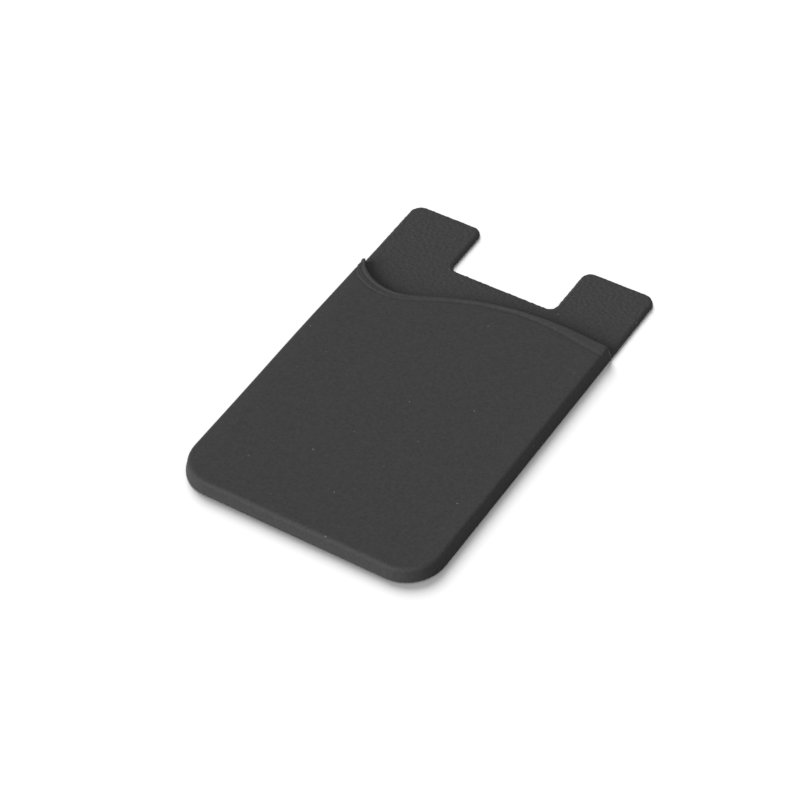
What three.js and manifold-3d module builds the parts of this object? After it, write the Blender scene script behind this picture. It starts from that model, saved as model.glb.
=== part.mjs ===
// A stick-on card holder for the back of a phone: one silicone moulding with a card pocket and two
// tabs, an adhesive pad on its back and the liner that covers the adhesive until it is used.
// Millimetres. It lies on its back, with +Z out of the front panel, +X across and +Y to the tabs.
// The origin is under the middle of the holder, on the surface that it lies on.

import * as THREE from 'three';
import { mergeVertices } from 'three/addons/utils/BufferGeometryUtils.js';
import Module from 'manifold-3d';

// The card that the pocket is made for, and the room around it
const CARD_WIDTH = 54;
const CARD_LENGTH = 85.6;
const CARD_THICKNESS = 0.76;
const CARD_SIDE_CLEARANCE = 0.3;
const CARD_FACE_CLEARANCE = 0.2;

// Walls of the silicone moulding
const SIDE_WALL = 1.2;
const BOTTOM_WALL = 1.4;
const SHEET_THICKNESS = 1;
const PANEL_THICKNESS = 0.8;

// Adhesive and liner on the back, cut to one rectangle that leaves the tabs and a margin free
const LINER_THICKNESS = 0.12;
const ADHESIVE_THICKNESS = 0.2;
const BACKING_MARGIN = 2;

// Outline of the holder
const BOTTOM_CORNER_RADIUS = 8;
const TAB_WIDTH = 16.5;
const NOTCH_DEPTH = 13;
const TAB_OUTER_RADIUS = 2.75;
const TAB_INNER_RADIUS = 2.3;
const NOTCH_RADIUS = 1.6;

// Edges: the sheet's is a quarter round, the pocket's wall leans in and ends in a round
const SHEET_EDGE_ROUND = 0.95;
const WALL_LEAN = 0.45;
const PANEL_EDGE_ROUND = 0.85;

// Mouth of the pocket, an S from a dip near the left side to a crown near the right side
const CROWN_BELOW_NOTCH = 5.3;
const CROWN_X = 17;
const DIP_DEPTH = 8.2;
const DIP_X = -17.7;
const LEFT_END_DROP = 0.7;
const RIGHT_END_DROP = 0.9;
const DIP_LEFT_HANDLE = 4.8;
const DIP_RIGHT_HANDLE = 7;
const CROWN_LEFT_HANDLE = 22;
const CROWN_RIGHT_HANDLE = 4;
const LEFT_END_HANDLE = new THREE.Vector2(2.2, -4.4);

// Raised lip along the mouth
const LIP_WIDTH = 1.1;
const LIP_HEIGHT = 0.25;
const LIP_EDGE_ROUND = 0.3;

const CORNER_STEPS = 8;
const ROUND_STEPS = 4;
const MOUTH_STEPS = 14;

// Overall sizes and levels that follow from them
const width = CARD_WIDTH + 2 * (CARD_SIDE_CLEARANCE + SIDE_WALL);
const length = CARD_LENGTH + BOTTOM_WALL;
const right = width / 2;
const top = length / 2;
const bottom = -top;
const notchRight = right - TAB_WIDTH;
const notchFloor = top - NOTCH_DEPTH;
const adhesiveBase = LINER_THICKNESS;
const sheetBase = adhesiveBase + ADHESIVE_THICKNESS;
const sheetTop = sheetBase + SHEET_THICKNESS;
const slotTop = sheetTop + CARD_THICKNESS + CARD_FACE_CLEARANCE;
const panelTop = slotTop + PANEL_THICKNESS;
const lipTop = panelTop + LIP_HEIGHT;
const crownY = notchFloor - CROWN_BELOW_NOTCH;
const dipY = crownY - DIP_DEPTH;

const wasm = await Module();
wasm.setup();

// Closed geometry to solid and back
function toSolid(geometry) {
  const bare = geometry.clone();
  bare.deleteAttribute('normal');
  bare.deleteAttribute('uv');
  const merged = mergeVertices(bare, 1e-5);
  return new wasm.Manifold(new wasm.Mesh({
    numProp: 3,
    vertProperties: new Float32Array(merged.attributes.position.array),
    triVerts: new Uint32Array(merged.index.array),
  }));
}

function toGeometry(solid) {
  const { numProp, vertProperties, triVerts } = solid.getMesh();
  const positions = new Float32Array((vertProperties.length / numProp) * 3);
  for (let i = 0; i < positions.length / 3; i += 1) {
    positions.set(vertProperties.subarray(i * numProp, i * numProp + 3), 3 * i);
  }
  const geometry = new THREE.BufferGeometry();
  geometry.setAttribute('position', new THREE.BufferAttribute(positions, 3));
  geometry.setIndex(new THREE.BufferAttribute(new Uint32Array(triVerts), 1));
  geometry.computeVertexNormals();
  return geometry;
}

// One corner of an outline as an arc that touches both of its sides. A positive radius is an
// outside corner, and an inset makes it tighter; an inside corner grows by the same inset.
function cornerArc(before, corner, after, radius) {
  const toBefore = before.clone().sub(corner).normalize();
  const toAfter = after.clone().sub(corner).normalize();
  const halfAngle = Math.acos(toBefore.dot(toAfter)) / 2;
  const inward = toBefore.clone().add(toAfter).normalize();
  const centre = corner.clone().addScaledVector(inward, radius / Math.sin(halfAngle));
  const reach = radius / Math.tan(halfAngle);
  const start = corner.clone().addScaledVector(toBefore, reach).sub(centre);
  const end = corner.clone().addScaledVector(toAfter, reach).sub(centre);
  const turn = Math.atan2(start.cross(end), start.dot(end));
  return Array.from({ length: CORNER_STEPS + 1 }, (_, i) => (
    start.clone().rotateAround(new THREE.Vector2(), (turn * i) / CORNER_STEPS).add(centre)
  ));
}

function roundedOutline(corners) {
  const points = corners.map(({ x, y }) => new THREE.Vector2(x, y));
  const at = (i) => points[(i + points.length) % points.length];
  return corners.flatMap(({ radius }, i) => (
    cornerArc(at(i - 1), at(i), at(i + 1), Math.max(radius, 0.05))
  ));
}

// Outline of the back sheet with its two tabs, moved in by inset all round
function sheetOutline(inset) {
  const sideX = right - inset;
  const notchX = notchRight + inset;
  const outside = (radius) => radius - inset;
  const half = [
    { x: sideX, y: bottom + inset, radius: outside(BOTTOM_CORNER_RADIUS) },
    { x: sideX, y: top - inset, radius: outside(TAB_OUTER_RADIUS) },
    { x: notchX, y: top - inset, radius: outside(TAB_INNER_RADIUS) },
    { x: notchX, y: notchFloor - inset, radius: NOTCH_RADIUS + inset },
  ];
  const mirrored = half.map((corner) => ({ ...corner, x: -corner.x })).reverse();
  return roundedOutline([...half, ...mirrored]);
}

// Outline of the pocket before its mouth is cut: both sides, the bottom end and a plain top edge
function pocketOutline(inset) {
  const sideX = right - inset;
  const radius = BOTTOM_CORNER_RADIUS - inset;
  return roundedOutline([
    { x: -sideX, y: bottom + inset, radius },
    { x: sideX, y: bottom + inset, radius },
    { x: sideX, y: notchFloor, radius: 0 },
    { x: -sideX, y: notchFloor, radius: 0 },
  ]);
}

// A side that leans in by lean and ends in a quarter round, as insets and heights from the base up
function sideProfile(base, height, lean, round, roundHeight) {
  const straight = height - roundHeight;
  const rounded = Array.from({ length: ROUND_STEPS + 1 }, (_, i) => {
    const angle = (Math.PI / 2) * (i / ROUND_STEPS);
    return {
      inset: lean + round * (1 - Math.cos(angle)),
      z: base + straight + roundHeight * Math.sin(angle),
    };
  });
  return straight > 0 ? [{ inset: 0, z: base }, ...rounded] : rounded;
}

// Closed solid through one outline at each level, flat underneath and on top
function stackedOutlines(outlineAt, levels) {
  const rings = levels.map(({ inset }) => outlineAt(inset));
  const count = rings[0].length;
  const positions = rings.flatMap((ring, level) => (
    ring.flatMap(({ x, y }) => [x, y, levels[level].z])
  ));
  const index = [];
  for (let level = 0; level + 1 < rings.length; level += 1) {
    for (let i = 0; i < count; i += 1) {
      const a = level * count + i;
      const b = level * count + ((i + 1) % count);
      index.push(a, b, b + count, a, b + count, a + count);
    }
  }
  const lastRing = (rings.length - 1) * count;
  for (const [a, b, c] of THREE.ShapeUtils.triangulateShape(rings[0], [])) {
    index.push(a, c, b);
  }
  for (const [a, b, c] of THREE.ShapeUtils.triangulateShape(rings[rings.length - 1], [])) {
    index.push(lastRing + a, lastRing + b, lastRing + c);
  }
  const geometry = new THREE.BufferGeometry();
  geometry.setAttribute('position', new THREE.Float32BufferAttribute(positions, 3));
  geometry.setIndex(index);
  return geometry;
}

function prism(points, base, height) {
  const geometry = new THREE.ExtrudeGeometry(new THREE.Shape(points), {
    depth: height,
    bevelEnabled: false,
  });
  return geometry.translate(0, 0, base);
}

// The mouth's line from the left side to the right side, as three curves that are level where they
// meet at the dip and at the crown
function mouthLine() {
  const leftEnd = new THREE.Vector2(-right, crownY - LEFT_END_DROP);
  const rightEnd = new THREE.Vector2(right, crownY - RIGHT_END_DROP);
  const dip = new THREE.Vector2(DIP_X, dipY);
  const crown = new THREE.Vector2(CROWN_X, crownY);
  const beside = (point, dx) => new THREE.Vector2(point.x + dx, point.y);
  const curves = [
    new THREE.CubicBezierCurve(
      leftEnd, leftEnd.clone().add(LEFT_END_HANDLE), beside(dip, -DIP_LEFT_HANDLE), dip,
    ),
    new THREE.CubicBezierCurve(
      dip, beside(dip, DIP_RIGHT_HANDLE), beside(crown, -CROWN_LEFT_HANDLE), crown,
    ),
    new THREE.QuadraticBezierCurve(crown, beside(crown, CROWN_RIGHT_HANDLE), rightEnd),
  ];
  return curves.flatMap((curve, i) => curve.getPoints(MOUTH_STEPS).slice(i === 0 ? 0 : 1));
}

// The same line moved by distance square to itself, towards the bottom end
function besideMouth(line, distance) {
  return line.map((point, i) => {
    const before = line[Math.max(i - 1, 0)];
    const after = line[Math.min(i + 1, line.length - 1)];
    const along = after.clone().sub(before).normalize();
    return new THREE.Vector2(point.x + along.y * distance, point.y - along.x * distance);
  });
}

// All that lies past the mouth's line, from below the holder to above it
function beyondMouth(line) {
  const spare = 5;
  const first = line[0];
  const last = line[line.length - 1];
  const around = [
    new THREE.Vector2(last.x + spare, last.y),
    new THREE.Vector2(last.x + spare, top + spare),
    new THREE.Vector2(first.x - spare, top + spare),
    new THREE.Vector2(first.x - spare, first.y),
  ];
  return prism([...line, ...around], -spare, lipTop + 2 * spare);
}

// The lip stands on the panel and round both side walls, as wide as the band beside the mouth. It is
// the pocket's own form grown by the lip's height, cut to that band, with a round towards the panel.
function lip(line) {
  const backwards = [...line].reverse();
  const band = (inset) => [...besideMouth(line, LIP_WIDTH - inset), ...backwards];
  const rounded = Array.from({ length: ROUND_STEPS + 1 }, (_, i) => {
    const angle = (Math.PI / 2) * (i / ROUND_STEPS);
    return {
      inset: LIP_EDGE_ROUND * (1 - Math.cos(angle)),
      z: panelTop + LIP_HEIGHT * Math.sin(angle),
    };
  });
  const bandSolid = toSolid(stackedOutlines(band, [{ inset: 0, z: sheetBase }, ...rounded]));
  const grown = toSolid(stackedOutlines(pocketOutline, sideProfile(
    sheetBase, lipTop - sheetBase, WALL_LEAN - LIP_HEIGHT, PANEL_EDGE_ROUND, PANEL_EDGE_ROUND,
  )));
  return grown.intersect(bandSolid);
}

function siliconePocket() {
  const line = mouthLine();
  const sheet = toSolid(stackedOutlines(
    sheetOutline,
    sideProfile(sheetBase, SHEET_THICKNESS, 0, SHEET_EDGE_ROUND, SHEET_THICKNESS),
  ));
  const loaf = toSolid(stackedOutlines(pocketOutline, sideProfile(
    sheetBase, panelTop - sheetBase, WALL_LEAN, PANEL_EDGE_ROUND, PANEL_EDGE_ROUND,
  )));
  const slotRight = right - SIDE_WALL;
  const slotCorner = BOTTOM_CORNER_RADIUS - SIDE_WALL;
  const slot = toSolid(prism(roundedOutline([
    { x: -slotRight, y: bottom + BOTTOM_WALL, radius: slotCorner },
    { x: slotRight, y: bottom + BOTTOM_WALL, radius: slotCorner },
    { x: slotRight, y: top, radius: 0 },
    { x: -slotRight, y: top, radius: 0 },
  ]), sheetTop, slotTop - sheetTop));
  const pocket = loaf.add(lip(line)).subtract(toSolid(beyondMouth(line)));
  return toGeometry(sheet.add(pocket).subtract(slot));
}

// Adhesive and liner are cut to one outline, its corners concentric with the holder's
function backingLayer(base, thickness) {
  const sideX = right - BACKING_MARGIN;
  const radius = BOTTOM_CORNER_RADIUS - BACKING_MARGIN;
  const outline = roundedOutline([
    { x: -sideX, y: bottom + BACKING_MARGIN, radius },
    { x: sideX, y: bottom + BACKING_MARGIN, radius },
    { x: sideX, y: notchFloor - BACKING_MARGIN, radius },
    { x: -sideX, y: notchFloor - BACKING_MARGIN, radius },
  ]);
  return prism(outline, base, thickness);
}

function piece(name, geometry, color, roughness, metalness) {
  const material = new THREE.MeshStandardMaterial({ color, roughness, metalness });
  const mesh = new THREE.Mesh(geometry, material);
  mesh.name = name;
  return mesh;
}

const cardHolder = new THREE.Group();
cardHolder.add(piece('silicone_pocket', siliconePocket(), 0x414141, 0.75, 0));
cardHolder.add(piece(
  'adhesive_pad', backingLayer(adhesiveBase, ADHESIVE_THICKNESS), 0xd9d9d4, 0.5, 0,
));
cardHolder.add(piece('release_liner', backingLayer(0, LINER_THICKNESS), 0xf1efe8, 0.4, 0));

export default cardHolder;
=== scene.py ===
# A stick-on card holder of dark grey silicone, lying on its back as it is when new.
# Lengths are written in millimetres and turned into metres where a mesh is made.

import bmesh
import bpy
import numpy as np
from mathutils import Matrix, Vector


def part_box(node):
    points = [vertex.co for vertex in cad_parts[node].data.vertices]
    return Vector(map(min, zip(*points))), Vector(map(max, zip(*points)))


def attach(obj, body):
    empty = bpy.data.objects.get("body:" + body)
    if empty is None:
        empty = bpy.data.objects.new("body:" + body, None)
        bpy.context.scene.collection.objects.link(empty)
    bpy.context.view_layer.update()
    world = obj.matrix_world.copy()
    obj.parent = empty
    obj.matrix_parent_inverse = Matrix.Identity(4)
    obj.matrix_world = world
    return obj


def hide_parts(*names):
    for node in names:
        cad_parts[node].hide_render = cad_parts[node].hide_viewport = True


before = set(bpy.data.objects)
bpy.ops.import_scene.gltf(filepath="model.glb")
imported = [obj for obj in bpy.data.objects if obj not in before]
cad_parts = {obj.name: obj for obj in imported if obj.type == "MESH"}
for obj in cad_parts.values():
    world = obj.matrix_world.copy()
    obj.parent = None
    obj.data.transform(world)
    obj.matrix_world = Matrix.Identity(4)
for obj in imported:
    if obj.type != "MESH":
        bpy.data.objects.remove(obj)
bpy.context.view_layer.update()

# The back sheet with its two tabs. It is the flat lower half of the silicone moulding, about
# 1 mm thick, and the mould gives its upper face a leather grain. Its edge is rounded over.
MM = 0.001
low, high = (np.array(corner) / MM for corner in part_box("silicone_pocket"))
HALF_WIDTH = high[0]
TOP = high[1]
BOTTOM = low[1]
SHEET_BASE = low[2]
SHEET_THICKNESS = 1.0
SHEET_TOP = SHEET_BASE + SHEET_THICKNESS
SHEET_EDGE_ROUND = 0.95
NOTCH_HALF_WIDTH = 12.0
NOTCH_FLOOR = TOP - 13.0
BOTTOM_CORNER = 8.0
TAB_OUTER_CORNER = 2.75
TAB_INNER_CORNER = 2.3
NOTCH_CORNER = 1.6
GRAIN_START = 11.0
TAB_COLUMNS = 80
NOTCH_COLUMNS = 112
PLAIN_ROWS = 13
GRAIN_ROWS = 112
TAB_ROWS = 52
ARC_STEPS = 12
EDGE_STEPS = 6


def arc(centre, radius, start, end, count):
    """Points on a circle about centre, between two angles in degrees, both ends included."""
    angle = np.radians(np.linspace(start, end, count + 1))
    return np.stack([centre[0] + radius * np.cos(angle), centre[1] + radius * np.sin(angle)], 1)


def run(start, end, shares):
    """Points of a straight run: start + share * (end - start)."""
    start, end = np.array(start, float), np.array(end, float)
    return start + np.asarray(shares)[:, None] * (end - start)


def mirrored(points):
    return points * np.array([-1, 1])


def ruled(left, right, shares):
    """Grid between two polylines: row i runs straight from left[i] to right[i]."""
    return left[:, None] + (right - left)[:, None] * np.asarray(shares)[None, :, None]


def smooth(share):
    """Smooth step: 0 up to share 0, 1 from share 1, and 3 s^2 - 2 s^3 between."""
    share = np.clip(share, 0, 1)
    return share ** 2 * (3 - 2 * share)


def sheet_runs(inset):
    """The right half of the sheet's outline, moved in by inset, as three polylines.

    The rows of the side stop at the notch's floor. Those of a tab are shared by both its sides:
    the arc at the foot of the notch, a straight run and the arc at the tab's corner."""
    side, top = HALF_WIDTH - inset, TOP - inset
    notch, floor = NOTCH_HALF_WIDTH + inset, NOTCH_FLOOR - inset
    corner = BOTTOM_CORNER - inset
    outer, inner = TAB_OUTER_CORNER - inset, TAB_INNER_CORNER - inset
    fillet = NOTCH_CORNER + inset
    start_y = BOTTOM + BOTTOM_CORNER
    foot = arc((notch - fillet, floor + fillet), fillet, -90, 0, ARC_STEPS)
    foot_share = (foot[:, 1] - floor) / (top - outer - floor)
    even = np.linspace(0, 1, TAB_ROWS + 1)[1:]
    rise = np.concatenate([foot_share, foot_share[-1] + (1 - foot_share[-1]) * even])
    return {
        "side": np.concatenate([
            arc((side - corner, start_y), corner, -90, 0, ARC_STEPS),
            run((side, start_y), (side, GRAIN_START), np.linspace(0, 1, PLAIN_ROWS + 1)[1:]),
            run((side, GRAIN_START), (side, floor), np.linspace(0, 1, GRAIN_ROWS)[1:]),
        ]),
        "tab_outer": np.concatenate([
            run((side, floor), (side, top - outer), rise),
            arc((side - outer, top - outer), outer, 0, 90, ARC_STEPS)[1:],
        ]),
        "tab_inner": np.concatenate([
            foot,
            run(foot[-1], (notch, top - inner), even),
            arc((notch + inner, top - inner), inner, 180, 90, ARC_STEPS)[1:],
        ]),
    }


def sheet_shares():
    """Shares of the sheet's width at which its columns stand, so that the tabs' columns meet."""
    runs = sheet_runs(SHEET_EDGE_ROUND)
    side, notch = runs["side"][-1][0], runs["tab_inner"][0][0]
    tab = np.linspace(-side, -notch, TAB_COLUMNS + 1)
    middle = np.linspace(-notch, notch, NOTCH_COLUMNS + 1)[1:]
    return (np.concatenate([tab, middle, -tab[::-1][1:]]) + side) / (2 * side)


def sheet_loop(inset):
    """The whole outline as one closed loop, from the bottom end round the right side."""
    runs = sheet_runs(inset)
    side, outer, inner = runs["side"], runs["tab_outer"], runs["tab_inner"]
    tab_end = run(outer[-1], inner[-1], np.linspace(0, 1, TAB_COLUMNS + 1))
    right = [side, outer[1:], tab_end[1:], inner[::-1][1:]]
    left = [mirrored(part[::-1]) for part in (inner[::-1], tab_end, outer, side)]
    notch = run(inner[0], mirrored(inner[0]), np.linspace(0, 1, NOTCH_COLUMNS + 1))
    bottom = run(mirrored(side[0]), side[0], sheet_shares())[:-1]
    return np.concatenate([bottom] + right + [notch[1:]] + [part[1:] for part in left])


# The leather grain: pebbles of two sizes, all drawn out along one direction
GRAIN_HEIGHT = 0.14
GRAIN_STRETCH = 1.35
GRAIN_ANGLE = 29.0
GRAIN_WAVE = 0.3
GRAIN_WAVE_TURNS = (1.7, 2.1)
COARSE_SIZE = 0.9
FINE_SIZE = 0.55 * COARSE_SIZE
FINE_SHIFT = (3.1, 1.7)
COARSE_SHARE = 0.65
FINE_SHARE = 0.35
PEBBLE_SLOPE = 1.3
PEBBLE_REPEAT = 128
GRAIN_FADE = 3.0
EDGE_GRAIN = 0.6


def pebbles(x, y, size, seed):
    """Leather pebbles: distance to the second nearest of scattered points less the nearest.

    One point lies at random in each square of the given size. The result is 0 in the creases
    between pebbles and 1 on top of them."""
    shift = np.random.default_rng(seed).random((PEBBLE_REPEAT, PEBBLE_REPEAT, 2))
    cell_x, cell_y = np.floor(x / size).astype(int), np.floor(y / size).astype(int)
    near = []
    for step_x in range(-2, 3):
        for step_y in range(-2, 3):
            at_x, at_y = cell_x + step_x, cell_y + step_y
            jitter = shift[at_x % PEBBLE_REPEAT, at_y % PEBBLE_REPEAT]
            near.append(np.hypot(at_x + jitter[..., 0] - x / size, at_y + jitter[..., 1] - y / size))
    near = np.sort(np.stack(near), axis=0)
    return np.clip((near[1] - near[0]) * PEBBLE_SLOPE, 0, 1)


def grain(plan):
    """Depth of the leather grain: two sizes of pebbles, drawn out along one direction.

    The plan is turned to that direction, divided by the stretch along it, and bent by waves."""
    along, square = np.radians(GRAIN_ANGLE), np.radians(GRAIN_ANGLE + 90)
    x = (plan[..., 0] * np.cos(along) + plan[..., 1] * np.sin(along)) / GRAIN_STRETCH
    y = plan[..., 0] * np.cos(square) + plan[..., 1] * np.sin(square)
    wave_x = GRAIN_WAVE * np.sin(GRAIN_WAVE_TURNS[0] * y)
    wave_y = GRAIN_WAVE * np.sin(GRAIN_WAVE_TURNS[1] * x)
    x, y = x + wave_x, y + wave_y
    coarse = smooth(pebbles(x, y, COARSE_SIZE, seed=11))
    fine = smooth(pebbles(x + FINE_SHIFT[0], y - FINE_SHIFT[1], FINE_SIZE, seed=12))
    fade = smooth((plan[..., 1] - GRAIN_START) / GRAIN_FADE)
    return GRAIN_HEIGHT * (COARSE_SHARE * coarse + FINE_SHARE * fine - 1) * fade


# Welding: the widest gap that is closed, and the length below which an edge is dropped
WELD_GAP = 0.0002
SLIVER_LENGTH = 0.0001


def mesh_piece(name, patches):
    """One closed mesh from grids of points (rows, columns, 3), welded where their edges meet."""
    points, faces, start = [], [], 0
    for grid in patches:
        rows, columns = grid.shape[:2]
        index = start + np.arange(rows * columns).reshape(rows, columns)
        corners = [index[:-1, :-1], index[:-1, 1:], index[1:, 1:], index[1:, :-1]]
        faces.append(np.stack([corner.ravel() for corner in corners], 1))
        points.append(grid.reshape(-1, 3) * MM)
        start += rows * columns
    mesh = bpy.data.meshes.new(name)
    mesh.from_pydata(np.concatenate(points), [], np.concatenate(faces))
    work = bmesh.new()
    work.from_mesh(mesh)
    bmesh.ops.remove_doubles(work, verts=work.verts, dist=WELD_GAP * MM)
    bmesh.ops.dissolve_degenerate(work, edges=work.edges, dist=SLIVER_LENGTH * MM)
    rim = [edge for edge in work.edges if edge.is_boundary]
    if rim:
        bmesh.ops.contextual_create(work, geom=rim)
    bmesh.ops.recalc_face_normals(work, faces=work.faces)
    work.to_mesh(mesh)
    work.free()
    piece = bpy.data.objects.new(name, mesh)
    bpy.context.collection.objects.link(piece)
    return piece


def back_sheet():
    """Flat sheet with the grain sunk into its upper face.

    Its edge is a quarter ellipse: inset r (1 - cos a) at height t sin a. The grain goes over it,
    so that the outline wavers a little as well."""
    runs = sheet_runs(SHEET_EDGE_ROUND)
    even = np.linspace(0, 1, TAB_COLUMNS + 1)
    faces = [
        ruled(mirrored(runs["side"]), runs["side"], sheet_shares()),
        ruled(runs["tab_inner"], runs["tab_outer"], even),
        ruled(mirrored(runs["tab_outer"]), mirrored(runs["tab_inner"]), even),
    ]
    patches = [np.dstack([plan, SHEET_TOP + grain(plan)]) for plan in faces]
    outward = sheet_loop(0) - sheet_loop(SHEET_EDGE_ROUND)
    outward /= np.linalg.norm(outward, axis=1, keepdims=True)
    rings = []
    for angle in np.radians(np.linspace(90, 0, EDGE_STEPS + 1)):
        plan = sheet_loop(SHEET_EDGE_ROUND * (1 - np.cos(angle)))
        depth = grain(plan)
        z = SHEET_BASE + SHEET_THICKNESS * np.sin(angle) + depth * np.sin(angle)
        plan = plan + outward * (depth * np.cos(angle) * EDGE_GRAIN)[:, None]
        rings.append(np.column_stack([plan, z]))
    patches.append(np.array(rings))
    return mesh_piece("back_sheet", patches)


sheet = back_sheet()

# The card pocket on the sheet: two side walls, an end wall and a smooth front panel that ends in
# an S-shaped mouth. A thin raised lip stiffens the mouth. It is moulded in one with the sheet.
CAD_LIP_HEIGHT = 0.25
PANEL_TOP = high[2] - CAD_LIP_HEIGHT
SIDE_WALL = 1.2
BOTTOM_WALL = 1.4
SLOT_HEIGHT = 0.96
WALL_LEAN = 0.45
SIDE_EDGE_ROUND = 0.75
BOTTOM_EDGE_ROUND = 1.0
PANEL_COLUMNS = 200
SIDE_ROWS = 60
WALL_CLIMBS = (0, 0.04, 0.5, 0.9)
BEND_STEPS = 9
END_FACE_ROWS = 4
SLOT_COLUMNS = 8

# The mouth's line, from its left end through the dip and the crown to its right end
CROWN = (17.0, NOTCH_FLOOR - 4.7)
DIP = (-17.7, CROWN[1] - 8.2)
LEFT_END = (-HALF_WIDTH + 1.1, CROWN[1] - 2.8)
RIGHT_END = (HALF_WIDTH, CROWN[1] - 0.9)
LEFT_END_HANDLE = (1.3, -2.6)
DIP_LEFT_HANDLE = 4.8
DIP_RIGHT_HANDLE = 7
CROWN_LEFT_HANDLE = 22
CROWN_RIGHT_HANDLE = 3
RIGHT_END_HANDLE = (-7, 0.7)
PAST_LEFT_END = (-1.2, 0.1)
CURVE_POINTS = 200
MOUTH_PLACES = 1141
MOUTH_SOFTNESS = 0.15
SLOPE_SOFTNESS = 1.0


def bezier(points, count):
    """Points of a cubic Bezier curve, its control points weighted by (1-t)^3 and so on."""
    t = np.linspace(0, 1, count)[:, None]
    a, b, c, d = (np.array(point, float) for point in points)
    return (1 - t) ** 3 * a + 3 * (1 - t) ** 2 * t * b + 3 * (1 - t) * t ** 2 * c + t ** 3 * d


def beside(point, right=0.0, up=0.0):
    return (point[0] + right, point[1] + up)


mouth_points = np.concatenate([
    [beside(LEFT_END, *PAST_LEFT_END)],
    bezier(
        [LEFT_END, beside(LEFT_END, *LEFT_END_HANDLE), beside(DIP, -DIP_LEFT_HANDLE), DIP],
        CURVE_POINTS,
    ),
    bezier(
        [DIP, beside(DIP, DIP_RIGHT_HANDLE), beside(CROWN, -CROWN_LEFT_HANDLE), CROWN],
        CURVE_POINTS,
    )[1:],
    bezier(
        [CROWN, beside(CROWN, CROWN_RIGHT_HANDLE), beside(RIGHT_END, *RIGHT_END_HANDLE), RIGHT_END],
        CURVE_POINTS,
    )[1:],
])
mouth_places = np.linspace(-HALF_WIDTH, HALF_WIDTH, MOUTH_PLACES)
mouth_ups = np.interp(mouth_places, mouth_points[:, 0], mouth_points[:, 1])


def blended(values, length):
    """Running average over a length along X, with bell-shaped weights, ends held."""
    step = mouth_places[1] - mouth_places[0]
    reach = int(2 * length / step)
    weights = np.exp(-(np.arange(-reach, reach + 1) * step / length) ** 2)
    return np.convolve(np.pad(values, reach, "edge"), weights / weights.sum(), "valid")


mouth_ups = blended(mouth_ups, MOUTH_SOFTNESS)
mouth_slopes = np.gradient(blended(mouth_ups, SLOPE_SOFTNESS), mouth_places)


def mouth_y(x):
    """How far up the mouth's line lies at each x."""
    return np.interp(x, mouth_places, mouth_ups)


def mouth_stretch(x):
    """Length along Y for each unit of distance square to the mouth's line: 1 / cos(slope)."""
    return np.hypot(1, np.interp(x, mouth_places, mouth_slopes))


# The lip along the mouth, with the grooves and the beads that go with it
LIP_HEIGHT = 0.23
LIP_CURVE = 1.5
LIP_WIDTH = 0.85
LEFT_WIDENING = 1.05
RIGHT_WIDENING = 1.5
WIDENING_START = 6
LEFT_WIDENING_RUN = 22
RIGHT_WIDENING_RUN = 21
LIP_REACH = 4.0
LIP_ROWS = 34
LIP_EDGE_ROUND = 0.28
LIP_EDGE_STEPS = 7
LIP_SIDE_START = 10
LIP_SIDE_RUN = 60
GROOVE_DEPTH = 0.08
GROOVE_OFFSET = 0.15
GROOVE_WIDTH = 0.4
LEFT_LINES_START = 12
LEFT_LINES_RUN = 9
SECOND_GROOVE_DEPTH = 0.16
SECOND_GROOVE_SHARE = 0.5
SECOND_GROOVE_WIDTH = 0.13
BEAD_HEIGHT = 0.17
BEAD_WIDTH = 0.2
RIM_HEIGHT = 0.2
RIM_WIDTH = 0.36
RIM_SIDE_RUN = 40


def bell(offset, middle, width):
    """Bell curve exp(-((offset - middle) / width)^2)."""
    return np.exp(-((offset - middle) / width) ** 2)


def lip_width(x):
    """Width of the lip: narrow in the middle, and smoothly wider towards both ends."""
    left = smooth((-x - WIDENING_START) / LEFT_WIDENING_RUN)
    right = smooth((x - WIDENING_START) / RIGHT_WIDENING_RUN)
    return LIP_WIDTH + LEFT_WIDENING * left + RIGHT_WIDENING * right


def lip_rise(x, distance):
    """Height of the lip at a distance from the mouth: h (1 - (1 - s)^1.5), s rising to it.

    A shallow groove runs below it. Towards the left end a second groove runs along its top and
    its foot is a thin bead."""
    width = lip_width(x)
    left = smooth((-x - LEFT_LINES_START) / LEFT_LINES_RUN)
    share = np.clip(1 - distance / width, 0, 1)
    groove = GROOVE_DEPTH * bell(distance - width, GROOVE_OFFSET, GROOVE_WIDTH)
    along_top = bell(distance / width, SECOND_GROOVE_SHARE, SECOND_GROOVE_WIDTH)
    second = SECOND_GROOVE_DEPTH * left * along_top
    bead = BEAD_HEIGHT * left * bell(distance - width, 0, BEAD_WIDTH)
    return LIP_HEIGHT * (1 - (1 - share) ** LIP_CURVE) - groove - second + bead


def wall_rim(distance):
    """Bead down the end of the right wall: h (1 - (d / w)^4)."""
    return RIM_HEIGHT * np.clip(1 - (distance / RIM_WIDTH) ** 4, 0, 1)


# Where the panel and the left side leave the plain form
LEFT_EDGE_FALL = 0.28
LEFT_FALL_START = 5
LEFT_FALL_RUN = 4
RIGHT_EDGE_RISE = 0.16
RIGHT_RISE_START = 5.5
RIGHT_RISE_RUN = 4.5
LEFT_SIDE_BULGE = 0.13
BULGE_MIDDLE = -0.5
BULGE_REACH = 22
BULGE_NARROWNESS = 12


def panel_form(x):
    """How the panel leaves the flat: it falls to its left edge and rises to its right one."""
    fall = np.clip((-x - HALF_WIDTH + LEFT_FALL_START) / LEFT_FALL_RUN, 0, 1) ** 2
    rise = smooth((x - HALF_WIDTH + RIGHT_RISE_START) / RIGHT_RISE_RUN)
    return RIGHT_EDGE_RISE * rise - LEFT_EDGE_FALL * fall


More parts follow.
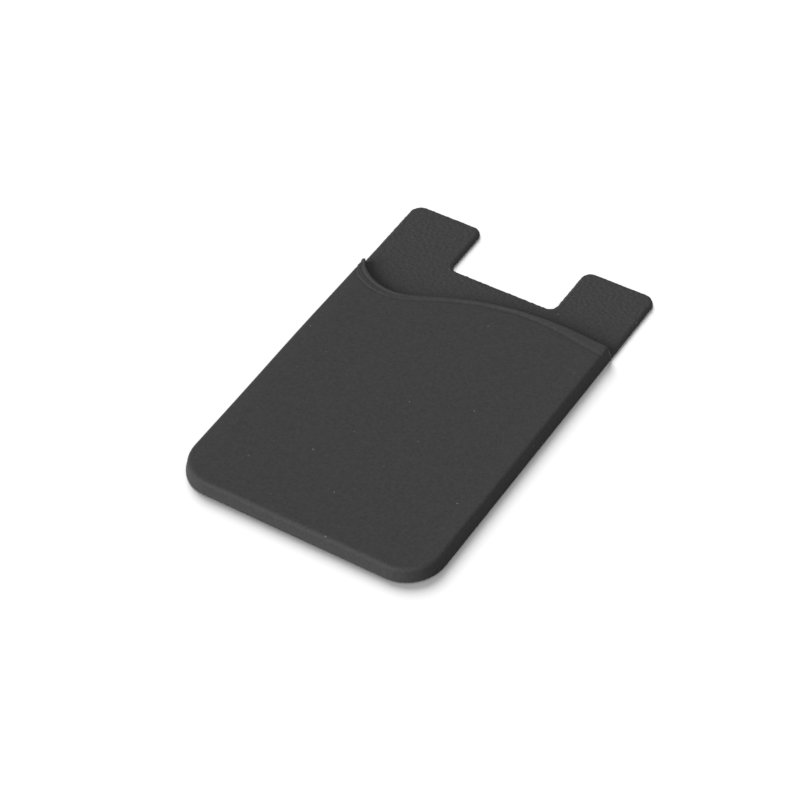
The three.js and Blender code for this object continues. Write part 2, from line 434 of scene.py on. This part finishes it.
def side_bulge(across, up):
    """How far the left side stands out: cos^2 along it, and little of that over the panel."""
    along = np.cos(np.clip((up - BULGE_MIDDLE) / BULGE_REACH, -1, 1) * np.pi / 2) ** 2
    return LEFT_SIDE_BULGE * np.clip(-across, 0, 1) ** BULGE_NARROWNESS * along


def pocket_grid(across, climb, bend):
    """Grid of the pocket's skin, each column with a place across (-1 left wall, 1 right wall).

    A column also has a share of the climb up the leaning wall and the angle of the bend over the
    edge. With the edge's radius r, its inset is lean * climb + r (1 - cos bend) and its height is
    climb * (wall - r) + r sin bend. The rows follow the arc of the bottom corner, the side, and
    then lines beside the mouth, where the lip stands out square to the skin."""
    corner = np.linspace(0, 1, ARC_STEPS + 1)
    side = np.linspace(0, 1, SIDE_ROWS + 1)[1:]
    end_turn = np.radians(np.linspace(0, 90, LIP_EDGE_STEPS + 1))[1:]
    near = np.linspace(LIP_REACH, LIP_EDGE_ROUND, LIP_ROWS)[1:]
    distance = np.concatenate([near, LIP_EDGE_ROUND * (1 - np.sin(end_turn))])[:, None]
    drop = np.concatenate([np.zeros(len(near)), LIP_EDGE_ROUND * (1 - np.cos(end_turn))])[:, None]
    share = np.concatenate([corner, np.ones(len(side) + len(distance))])[:, None]
    edge = BOTTOM_EDGE_ROUND + (SIDE_EDGE_ROUND - BOTTOM_EDGE_ROUND) * smooth(share)
    inset = WALL_LEAN * climb + edge * (1 - np.cos(bend))
    z = SHEET_BASE + climb * (PANEL_TOP - SHEET_BASE - edge) + edge * np.sin(bend)

    start_y = BOTTOM + BOTTOM_CORNER
    turn = np.radians(-90 + 90 * corner)[:, None]
    radius = BOTTOM_CORNER - inset[:len(corner)]
    corner_x = across * (HALF_WIDTH - BOTTOM_CORNER + radius * np.cos(turn))
    corner_y = start_y + radius * np.sin(turn)

    x = across * (HALF_WIDTH - inset[-1])
    stretch = mouth_stretch(x)
    side_y = start_y + side[:, None] * (mouth_y(x) - LIP_REACH * stretch - start_y)
    end_y = mouth_y(x) - distance * stretch
    lip_share = smooth((np.degrees(bend) - LIP_SIDE_START) / LIP_SIDE_RUN)
    over_left = np.where(across < 0, 1.0, lip_share)
    down_right = np.where(across > 0, 1 - smooth(np.degrees(bend) / RIM_SIDE_RUN), 0.0)
    out = over_left * lip_rise(x, distance) + down_right * wall_rim(distance) - drop
    end_x = x + np.sign(across) * np.cos(bend) * out

    ways = np.concatenate([corner_x, np.tile(x, (len(side), 1)), end_x])
    ups = np.concatenate([corner_y, side_y, end_y])
    z[-len(distance):] += np.sin(bend) * out
    z += climb * panel_form(ways)
    ways -= side_bulge(across, ups)
    return np.dstack([ways, ups, z])


def pocket_block():
    """The pocket as a solid block: panel, both side walls, the end wall and the cut mouth."""
    climb = np.concatenate([WALL_CLIMBS, np.ones(BEND_STEPS + 1)])
    bends = np.concatenate([np.zeros(len(WALL_CLIMBS)), np.linspace(0, 90, BEND_STEPS + 1)])
    bend = np.radians(bends)
    shares = np.sin(np.linspace(-1, 1, PANEL_COLUMNS + 1) * np.pi / 2)
    ones = np.ones(PANEL_COLUMNS + 1)
    panel = pocket_grid(shares, ones, ones * np.pi / 2)
    right = pocket_grid(np.ones(len(climb)), climb, bend)
    left = pocket_grid(-np.ones(len(climb)), climb, bend)
    flat = shares * (HALF_WIDTH - BOTTOM_CORNER)
    foot = right[0]
    bottom_x = np.tile(flat, (len(foot), 1))
    bottom_y = np.tile(foot[:, 1:2], (1, len(flat)))
    bottom_z = np.tile(foot[:, 2:3], (1, len(flat)))
    bottom = np.dstack([bottom_x, bottom_y, bottom_z])
    arch = np.concatenate([left[-1], panel[-1][1:-1], right[-1][::-1]])
    ground = arch * np.array([1, 1, 0]) + np.array([0, 0, SHEET_BASE])
    down = np.linspace(0, 1, END_FACE_ROWS + 1)[:, None, None]
    end_face = arch[None] + down * (ground - arch)[None]
    return mesh_piece("pocket", [panel, right, left, bottom, end_face])


def slot_block():
    """The card's room: a flat block with round corners at the closed end, open past the mouth."""
    half = HALF_WIDTH - SIDE_WALL
    radius = BOTTOM_CORNER - SIDE_WALL
    corner = arc((half - radius, BOTTOM + BOTTOM_WALL + radius), radius, -90, 0, ARC_STEPS)
    side = np.concatenate([corner, [[half, TOP]]])
    plan = ruled(mirrored(side), side, np.linspace(0, 1, SLOT_COLUMNS + 1))
    loop = np.concatenate([plan[0], side[1:], plan[-1][::-1][1:], mirrored(side)[::-1][1:]])
    levels = np.array([SHEET_TOP, SHEET_TOP + SLOT_HEIGHT])
    walls = np.stack([np.column_stack([loop, np.full(len(loop), z)]) for z in levels])
    lids = [np.dstack([plan, np.full(plan.shape[:2], z)]) for z in levels]
    return mesh_piece("slot", [walls] + lids)


def join(piece, other, operation):
    """Adds other to the piece, or cuts it out, and leaves one closed solid."""
    modifier = piece.modifiers.new("join", "BOOLEAN")
    modifier.operation = operation
    modifier.solver = "MANIFOLD"
    modifier.object = other
    bpy.context.view_layer.objects.active = piece
    bpy.ops.object.modifier_apply(modifier=modifier.name)
    bpy.data.objects.remove(other)


holder = pocket_block()
join(holder, slot_block(), "DIFFERENCE")
join(holder, sheet, "UNION")
holder.name = "silicone_holder"

# The silicone's skin: where painted light makes it paler, where it is shaded flat, and its material
# Painted light: a painted glint on the end of the right wall's rim, and a painted lightening of the
# grain.
RIM_PAINTED_GLINT = 2.6
GRAIN_PALENESS = 1.08
MOUTH_MARGIN = 0.02
UNDERSIDE_MARGIN = 0.01
SHARP_ANGLE = 40
DOWNWARD = -0.99
SILICONE_COLOR = (0.042, 0.042, 0.042)
SILICONE_IOR = 1.41
SILICONE_GLOSS = 0.14
SILICONE_ROUGHNESS = (0.58, 0.74)
MOTTLE_SCALE = 1800
MOTTLE_SPAN = (0.3, 0.7)
MOTTLE_TONES = (0.82, 1.22)
PORE_SCALE = 3200
PORE_DEPTH = 0.04
PORE_STRENGTH = 0.5
DUST_COLOR = (0.22, 0.22, 0.22)
DUST_SCALE = 420
DUST_RADII = (0.07, 0.035)
DUST_RARITY = 0.6

# Numbers of a mix node's sockets when it mixes colours: its two inputs and its result
MIX_FIRST = 6
MIX_SECOND = 7
MIX_RESULT = 2


def paint(piece):
    """Gives each point its painted light: a painted glint on the rim down the right wall, a painted
    lightening of the grain, and none on the plain skin.
    """
    points = np.empty(3 * len(piece.data.vertices))
    piece.data.vertices.foreach_get("co", points)
    x, y, z = (points.reshape(-1, 3) / MM).T
    from_mouth = mouth_y(HALF_WIDTH) - y
    # Painted glint: the end of the right wall's rim is painted pale where light would catch its
    # edge.
    rim_glint = (x > HALF_WIDTH - WALL_LEAN) & (z > SHEET_BASE + UNDERSIDE_MARGIN)
    rim_glint &= (from_mouth > -MOUTH_MARGIN) & (from_mouth < RIM_WIDTH)
    beyond_mouth = y > mouth_y(x) + MOUTH_MARGIN
    painted_light = np.select([rim_glint, beyond_mouth], [RIM_PAINTED_GLINT, GRAIN_PALENESS], 1.0)
    attribute = piece.data.attributes.new("painted_light", "FLOAT", "POINT")
    attribute.data.foreach_set("value", painted_light.astype(np.float32))


def shade(piece):
    """Smooth shading with sharp edges where faces meet steeply, and a flat underside."""
    piece.data.shade_smooth()
    piece.data.set_sharp_from_angle(angle=np.radians(SHARP_ANGLE))
    for face in piece.data.polygons:
        face.use_smooth = face.normal.z > DOWNWARD


def add_node(tree, kind, settings):
    """New node with the given input values by name."""
    node = tree.nodes.new(kind)
    for name, value in settings.items():
        node.inputs[name].default_value = value
    return node


def tinted(color, factor):
    return [factor * channel for channel in color] + [1]


def silicone():
    """Matt dark silicone: faint mottling, a very fine skin, and a few specks of dust on it."""
    material = bpy.data.materials.new("silicone")
    material.use_nodes = True
    tree = material.node_tree
    link = tree.links.new
    shader = tree.nodes["Principled BSDF"]
    shader.inputs["IOR"].default_value = SILICONE_IOR
    shader.inputs["Specular IOR Level"].default_value = SILICONE_GLOSS
    place = tree.nodes.new("ShaderNodeTexCoord").outputs["Object"]

    mottle = add_node(tree, "ShaderNodeTexNoise", {
        "Scale": MOTTLE_SCALE, "Detail": 5, "Roughness": 0.7,
    })
    link(place, mottle.inputs["Vector"])
    tint = tree.nodes.new("ShaderNodeValToRGB")
    for element, position, tone in zip(tint.color_ramp.elements, MOTTLE_SPAN, MOTTLE_TONES):
        element.position = position
        element.color = tinted(SILICONE_COLOR, tone)
    link(mottle.outputs["Fac"], tint.inputs["Fac"])

    # The colour is scaled by painted light: a painted glint on the right wall's rim and a painted
    # lightening of the grain.
    painted_light = tree.nodes.new("ShaderNodeAttribute")
    painted_light.attribute_name = "painted_light"
    toned = tree.nodes.new("ShaderNodeVectorMath")
    toned.operation = "SCALE"
    link(tint.outputs["Color"], toned.inputs[0])
    link(painted_light.outputs["Fac"], toned.inputs["Scale"])

    specks = add_node(tree, "ShaderNodeTexVoronoi", {"Scale": DUST_SCALE})
    link(place, specks.inputs["Vector"])
    small = add_node(tree, "ShaderNodeMapRange", {
        "From Min": DUST_RADII[0], "From Max": DUST_RADII[1],
    })
    link(specks.outputs["Distance"], small.inputs["Value"])
    chance = tree.nodes.new("ShaderNodeSeparateColor")
    link(specks.outputs["Color"], chance.inputs["Color"])
    few = add_node(tree, "ShaderNodeMapRange", {"From Min": DUST_RARITY, "From Max": 1.0})
    link(chance.outputs["Red"], few.inputs["Value"])
    dust = tree.nodes.new("ShaderNodeMath")
    dust.operation = "MULTIPLY"
    link(small.outputs["Result"], dust.inputs[0])
    link(few.outputs["Result"], dust.inputs[1])
    skin = tree.nodes.new("ShaderNodeMix")
    skin.data_type = "RGBA"
    link(dust.outputs["Value"], skin.inputs["Factor"])
    link(toned.outputs["Vector"], skin.inputs[MIX_FIRST])
    skin.inputs[MIX_SECOND].default_value = tinted(DUST_COLOR, 1)
    link(skin.outputs[MIX_RESULT], shader.inputs["Base Color"])

    pores = add_node(tree, "ShaderNodeTexNoise", {"Scale": PORE_SCALE, "Detail": 3})
    link(place, pores.inputs["Vector"])
    bump = add_node(tree, "ShaderNodeBump", {
        "Strength": PORE_STRENGTH, "Distance": PORE_DEPTH * MM,
    })
    link(pores.outputs["Fac"], bump.inputs["Height"])
    link(bump.outputs["Normal"], shader.inputs["Normal"])
    rough = add_node(tree, "ShaderNodeMapRange", {
        "To Min": SILICONE_ROUGHNESS[0], "To Max": SILICONE_ROUGHNESS[1],
    })
    link(pores.outputs["Fac"], rough.inputs["Value"])
    link(rough.outputs["Result"], shader.inputs["Roughness"])
    return material


paint(holder)
shade(holder)
holder.data.materials.clear()
holder.data.materials.append(silicone())
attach(holder, "root")
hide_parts("silicone_pocket")

# The adhesive pad under the sheet: a thin clear-white layer of acrylic foam tape, cut to a
# rounded rectangle.
ADHESIVE_COLOR = (0.70, 0.69, 0.64)
ADHESIVE_ROUGHNESS = 0.4
ADHESIVE_NOISE = 900
BACKING_TONES = (0.93, 1.04)
BACKING_SPREAD = 0.06


def backing_material(name, color, roughness, scale):
    """Pale sheet material whose tone and gloss vary a little with a fine noise."""
    material = bpy.data.materials.new(name)
    material.use_nodes = True
    tree = material.node_tree
    shader = tree.nodes["Principled BSDF"]
    place = tree.nodes.new("ShaderNodeTexCoord").outputs["Object"]
    fibres = add_node(tree, "ShaderNodeTexNoise", {"Scale": scale, "Detail": 6, "Roughness": 0.65})
    tree.links.new(place, fibres.inputs["Vector"])
    tint = tree.nodes.new("ShaderNodeValToRGB")
    for element, tone in zip(tint.color_ramp.elements, BACKING_TONES):
        element.color = tinted(color, tone)
    tree.links.new(fibres.outputs["Fac"], tint.inputs["Fac"])
    tree.links.new(tint.outputs["Color"], shader.inputs["Base Color"])
    rough = add_node(tree, "ShaderNodeMapRange", {
        "To Min": roughness - BACKING_SPREAD, "To Max": roughness + BACKING_SPREAD,
    })
    tree.links.new(fibres.outputs["Fac"], rough.inputs["Value"])
    tree.links.new(rough.outputs["Result"], shader.inputs["Roughness"])
    return material


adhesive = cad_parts["adhesive_pad"]
adhesive.data.materials.clear()
adhesive.data.materials.append(
    backing_material("adhesive", ADHESIVE_COLOR, ADHESIVE_ROUGHNESS, ADHESIVE_NOISE)
)

# The release liner: a sheet of waxed paper that covers the adhesive until it is peeled off. It has
# the adhesive's outline, and the new holder lies on it.
LINER_COLOR = (0.88, 0.86, 0.79)
LINER_ROUGHNESS = 0.55
LINER_NOISE = 500
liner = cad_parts["release_liner"]
liner.data.materials.clear()
liner.data.materials.append(
    backing_material("liner_paper", LINER_COLOR, LINER_ROUGHNESS, LINER_NOISE)
)

# The floor is a plain white sheet of paper, far larger than the holder. The light that it sends
# back is weaker than its look, so that the holder's low sides stay as dark as in the photo.
FLOOR_HALF = 1500.0
FLOOR_DROP = 0.01
FLOOR_COLOR = (0.97, 0.97, 0.97)
FLOOR_GLOW_COLOR = (0.32, 0.32, 0.32)


def seen_directly(tree):
    """Socket that is 1 for a ray from the camera, also one reflected or let through, else 0."""
    path = tree.nodes.new("ShaderNodeLightPath")
    seen = path.outputs["Is Camera Ray"]
    for name in ("Is Glossy Ray", "Is Transmission Ray"):
        either = tree.nodes.new("ShaderNodeMath")
        either.operation = "MAXIMUM"
        tree.links.new(seen, either.inputs[0])
        tree.links.new(path.outputs[name], either.inputs[1])
        seen = either.outputs["Value"]
    return seen


def floor():
    """White floor under the holder, which keeps its shadow and lights it from below less."""
    corners = np.array([(-1, -1, 0), (1, -1, 0), (1, 1, 0), (-1, 1, 0)]) * FLOOR_HALF * MM
    corners[:, 2] = -FLOOR_DROP * MM
    mesh = bpy.data.meshes.new("floor")
    mesh.from_pydata(corners, [], [(0, 1, 2, 3)])
    piece = bpy.data.objects.new("floor", mesh)
    bpy.context.collection.objects.link(piece)
    material = bpy.data.materials.new("floor_white")
    material.use_nodes = True
    tree = material.node_tree
    tree.nodes.clear()
    out = tree.nodes.new("ShaderNodeOutputMaterial")
    matt = tree.nodes.new("ShaderNodeBsdfDiffuse")
    tone = tree.nodes.new("ShaderNodeMix")
    tone.data_type = "RGBA"
    tone.inputs[MIX_FIRST].default_value = tinted(FLOOR_GLOW_COLOR, 1)
    tone.inputs[MIX_SECOND].default_value = tinted(FLOOR_COLOR, 1)
    tree.links.new(seen_directly(tree), tone.inputs["Factor"])
    tree.links.new(tone.outputs[MIX_RESULT], matt.inputs["Color"])
    tree.links.new(matt.outputs["BSDF"], out.inputs["Surface"])
    mesh.materials.append(material)
    return piece


paper = floor()

# The light: a white room, a soft lamp low in front and to the left, which shines on the holder
# alone, and a window behind and to the left, which lies on the paper and throws the shadow there.
ROOM_LEVEL = 0.46
WINDOW_TOWARD = (-0.52, 0.54, 0.66)
WINDOW_LEVEL = 3.1
WINDOW_SOFTNESS = 36
LAMP_TOWARD = (-0.40, -0.78, 0.46)
LAMP_LEVEL = 3.8
LAMP_SOFTNESS = 46


def soft_sun(name, toward, level, softness, lit):
    """Sun whose light comes from the given direction, spread over an angle in degrees.

    It lights only the objects in the list lit."""
    lamp = bpy.data.lights.new(name, "SUN")
    lamp.energy = level
    lamp.angle = np.radians(softness)
    piece = bpy.data.objects.new(name, lamp)
    piece.rotation_mode = "QUATERNION"
    piece.rotation_quaternion = Vector(toward).to_track_quat("Z", "Y")
    bpy.context.collection.objects.link(piece)
    group = bpy.data.collections.new(name + "_lights")
    for thing in lit:
        group.objects.link(thing)
    piece.light_linking.receiver_collection = group


def room():
    """Even white surroundings, which the camera and reflections see as plain white."""
    world = bpy.data.worlds.new("room")
    bpy.context.scene.world = world
    world.use_nodes = True
    tree = world.node_tree
    background = tree.nodes["Background"]
    background.inputs["Color"].default_value = (1, 1, 1, 1)
    level = add_node(tree, "ShaderNodeMapRange", {"To Min": ROOM_LEVEL, "To Max": 1.0})
    tree.links.new(seen_directly(tree), level.inputs["Value"])
    tree.links.new(level.outputs["Result"], background.inputs["Strength"])


room()
soft_sun("window", WINDOW_TOWARD, WINDOW_LEVEL, WINDOW_SOFTNESS, [paper])
soft_sun("front_lamp", LAMP_TOWARD, LAMP_LEVEL, LAMP_SOFTNESS, [holder, adhesive, liner])
bpy.context.scene.view_settings.view_transform = "Standard"

# The camera stands over the closed end, to the right, turned a little about its own axis. It has
# a long lens, about half a metre away, and is aimed slightly off the middle of the holder.
CAMERA_AZIMUTH = 36.57
CAMERA_ELEVATION = 46.47
CAMERA_ROLL = -5.05
CAMERA_DISTANCE = 550.3
CAMERA_RIGHT = -3.73
CAMERA_UP = -2.18
CAMERA_LENS = 127.7
SENSOR_WIDTH = 36
CLIP_START = 10


def photo_camera():
    """Camera whose back axis has the azimuth and elevation, rolled about that axis."""
    azimuth, elevation = np.radians(CAMERA_AZIMUTH), np.radians(CAMERA_ELEVATION)
    back = Vector((
        np.sin(azimuth) * np.cos(elevation),
        -np.cos(azimuth) * np.cos(elevation),
        np.sin(elevation),
    ))
    right = Matrix.Rotation(np.radians(CAMERA_ROLL), 3, back) @ Vector((0, 0, 1)).cross(back)
    right.normalize()
    up = back.cross(right)
    place = (right * CAMERA_RIGHT + up * CAMERA_UP + back * CAMERA_DISTANCE) * MM
    data = bpy.data.cameras.new("photo_camera")
    data.lens = CAMERA_LENS
    data.sensor_width = SENSOR_WIDTH
    data.clip_start = CLIP_START * MM
    camera = bpy.data.objects.new("photo_camera", data)
    turn = Matrix((right, up, back)).transposed()
    camera.matrix_world = Matrix.Translation(place) @ turn.to_4x4()
    bpy.context.collection.objects.link(camera)
    bpy.context.scene.camera = camera


photo_camera()
